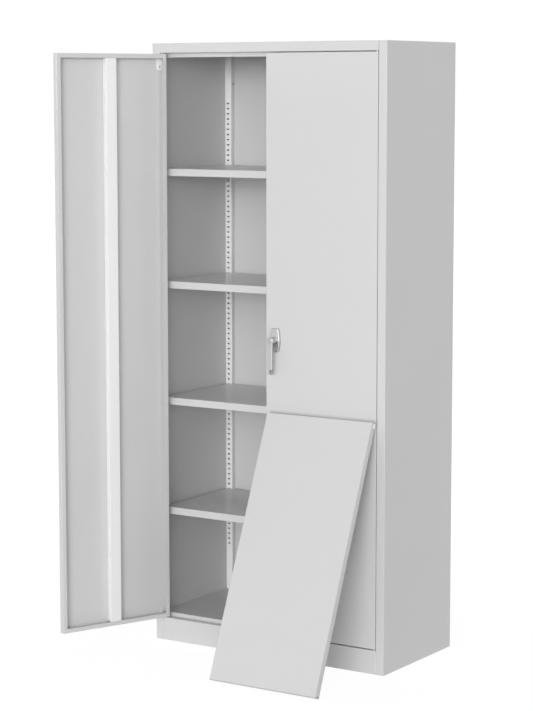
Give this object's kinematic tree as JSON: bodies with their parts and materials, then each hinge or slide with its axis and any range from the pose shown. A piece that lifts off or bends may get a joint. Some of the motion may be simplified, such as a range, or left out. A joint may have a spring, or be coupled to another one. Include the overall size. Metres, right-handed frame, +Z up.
{
  "type": "metal storage cabinet",
  "caption": "Tall two-door steel storage cabinet with height-adjustable shelves on slotted uprights, a swing handle with a three-point lock, and a spare shelf leaning in front.",
  "frame": {"origin": "on the floor, in the middle of the carcass's front plane", "axes": "+X to the right across the front as seen by someone standing before it, +Y from the front plane to the back, +Z up"},
  "size_m": [0.9074, 0.7405, 1.8],
  "materials": {
    "grey_powder_coat": "light grey powder coat, fine texture, satin",
    "white_paint": "white baked enamel, satin",
    "polished_chrome": "bright chrome plate, lightly satin",
    "zinc_steel": "bright zinc plate"
  },
  "bodies": {
    "cabinet": {"side_panel_left": "grey_powder_coat", "side_panel_right": "grey_powder_coat", "back_panel": "grey_powder_coat", "top_panel": "grey_powder_coat", "base_rail": "grey_powder_coat", "floor_pan": "grey_powder_coat", "upright_front_left": "white_paint", "upright_rear_left": "white_paint", "upright_front_right": "white_paint", "upright_rear_right": "white_paint", "shelf_1_clip_front_left": "zinc_steel", "shelf_1_clip_front_right": "zinc_steel", "shelf_1_clip_rear_left": "zinc_steel", "shelf_1_clip_rear_right": "zinc_steel", "shelf_2_clip_front_left": "zinc_steel", "shelf_2_clip_front_right": "zinc_steel", "shelf_2_clip_rear_left": "zinc_steel", "shelf_2_clip_rear_right": "zinc_steel", "shelf_3_clip_front_left": "zinc_steel", "shelf_3_clip_front_right": "zinc_steel", "shelf_3_clip_rear_left": "zinc_steel", "shelf_3_clip_rear_right": "zinc_steel", "shelf_4_clip_front_left": "zinc_steel", "shelf_4_clip_front_right": "zinc_steel", "shelf_4_clip_rear_left": "zinc_steel", "shelf_4_clip_rear_right": "zinc_steel"},
    "left_door": {"door_left": "grey_powder_coat", "door_stiffener_left": "white_paint", "hinge_bracket_left_top": "white_paint", "hinge_bracket_left_bottom": "grey_powder_coat", "hinge_pin_left_top": "zinc_steel", "hinge_pin_left_bottom": "zinc_steel"},
    "right_door": {"door_right": "grey_powder_coat", "door_stiffener_right": "white_paint", "hinge_bracket_right_top": "white_paint", "hinge_bracket_right_bottom": "grey_powder_coat", "hinge_pin_right_top": "zinc_steel", "hinge_pin_right_bottom": "zinc_steel", "handle_plate": "polished_chrome", "rod_guide_upper": "zinc_steel", "rod_guide_lower": "zinc_steel"},
    "handle": {"handle_lever": "polished_chrome", "lock_spindle": "zinc_steel", "lock_cam": "zinc_steel"},
    "key_plug": {"key_plug": "zinc_steel"},
    "upper_rod": {"lock_rod_upper": "zinc_steel"},
    "lower_rod": {"lock_rod_lower": "zinc_steel"},
    "shelf_1": {"shelf_1": "grey_powder_coat"},
    "shelf_2": {"shelf_2": "grey_powder_coat"},
    "shelf_3": {"shelf_3": "grey_powder_coat"},
    "shelf_4": {"shelf_4": "grey_powder_coat"},
    "spare_shelf": {"spare_shelf": "grey_powder_coat"}
  },
  "joints": [
    {"name": "left_door_hinge", "type": "hinge", "parent": "cabinet", "child": "left_door", "pos_m": [-0.367, 0.0042, 0.9], "axis": [0, 0, -1], "range_deg": [-112, 1]},
    {"name": "right_door_hinge", "type": "hinge", "parent": "cabinet", "child": "right_door", "pos_m": [0.367, 0.0042, 0.9], "axis": [0, 0, 1], "range_deg": [0, 113]},
    {"name": "handle_turn", "type": "hinge", "parent": "right_door", "child": "handle", "pos_m": [0.0345, 0, 0.9445], "axis": [0, -1, 0], "range_deg": [0, 90]},
    {"name": "key_turn", "type": "hinge", "parent": "handle", "child": "key_plug", "pos_m": [0.0345, -0.034, 0.9445], "axis": [0, -1, 0], "range_deg": [0, 90]},
    {"name": "upper_rod_slide", "type": "slide", "parent": "right_door", "child": "upper_rod", "axis": [0, 0, 1], "range_m": [0, 0.012]},
    {"name": "lower_rod_slide", "type": "slide", "parent": "right_door", "child": "lower_rod", "axis": [0, 0, -1], "range_m": [0, 0.012]},
    {"name": "shelf_1_lift", "type": "slide", "parent": "cabinet", "child": "shelf_1", "axis": [0, 0, 1], "range_m": [0, 0.25]},
    {"name": "shelf_2_lift", "type": "slide", "parent": "cabinet", "child": "shelf_2", "axis": [0, 0, 1], "range_m": [0, 0.25]},
    {"name": "shelf_3_lift", "type": "slide", "parent": "cabinet", "child": "shelf_3", "axis": [0, 0, 1], "range_m": [0, 0.25]},
    {"name": "shelf_4_lift", "type": "slide", "parent": "cabinet", "child": "shelf_4", "axis": [0, 0, 1], "range_m": [0, 0.25]},
    {"name": "spare_shelf_slide", "type": "slide", "parent": "right_door", "child": "spare_shelf", "axis": [-1, 0, 0], "range_m": [0, 0.035]}
  ],
  "couplings": [
    {"joint": "upper_rod_slide", "follows": "handle_turn", "m_per_rad": 0.007639},
    {"joint": "lower_rod_slide", "follows": "handle_turn", "m_per_rad": 0.007639},
    {"joint": "spare_shelf_slide", "follows": "right_door_hinge", "m_per_rad": 0.015}
  ]
}
